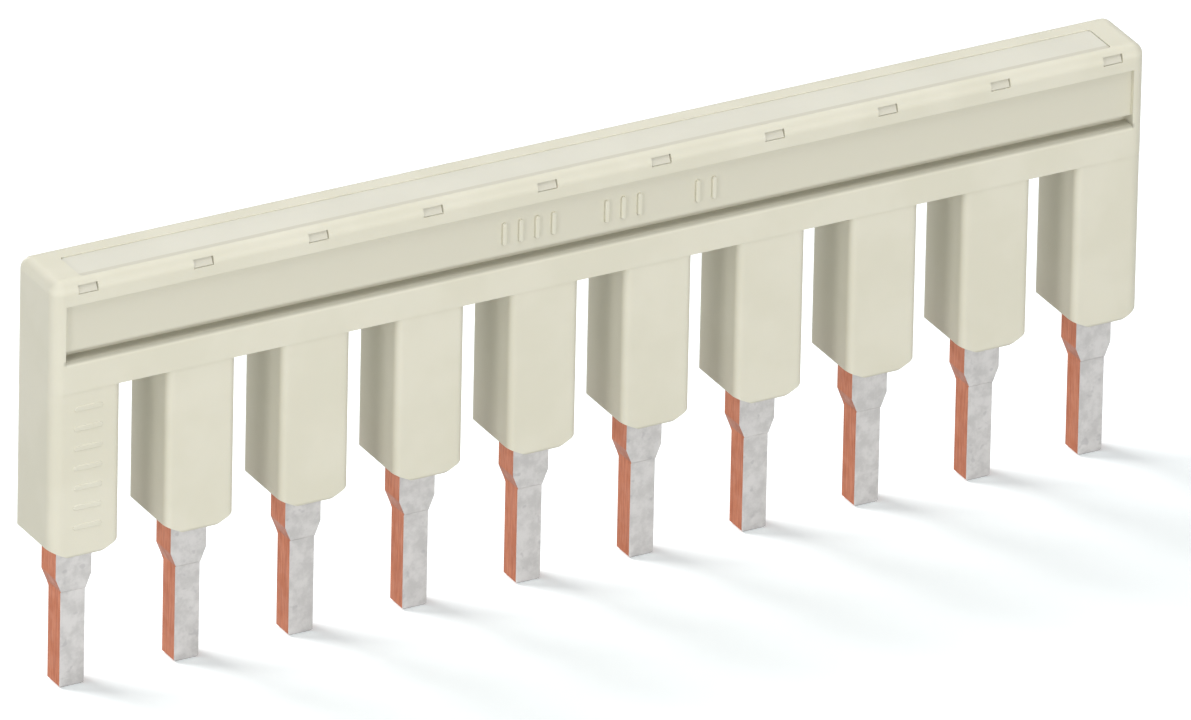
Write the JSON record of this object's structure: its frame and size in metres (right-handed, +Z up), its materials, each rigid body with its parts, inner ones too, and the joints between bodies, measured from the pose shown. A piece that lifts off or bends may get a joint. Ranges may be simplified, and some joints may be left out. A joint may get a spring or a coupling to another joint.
{
  "type": "terminal block jumper bar",
  "caption": "Comb-shaped jumper bar: a tinned copper comb in a pale moulded housing, with stepped flat pins that plug into a row of rail terminal blocks.",
  "frame": {"origin": "middle of the row and of the housing's depth, at the level of the pin tips", "axes": "+X along the row of poles, -Y out of the front with the label panel, +Z up from the pins to the bar"},
  "size_m": [0.048, 0.0032, 0.018],
  "materials": {
    "housing": "light grey-beige moulded polyamide, satin matte",
    "cover_strip": "light grey polyamide strip, satin matte",
    "tinned_copper": "tin-plated copper sheet with bare punched copper edges, satin"
  },
  "bodies": {
    "root": {"housing": "housing", "contact_comb": "tinned_copper", "cover_strip": "cover_strip"}
  },
  "joints": []
}
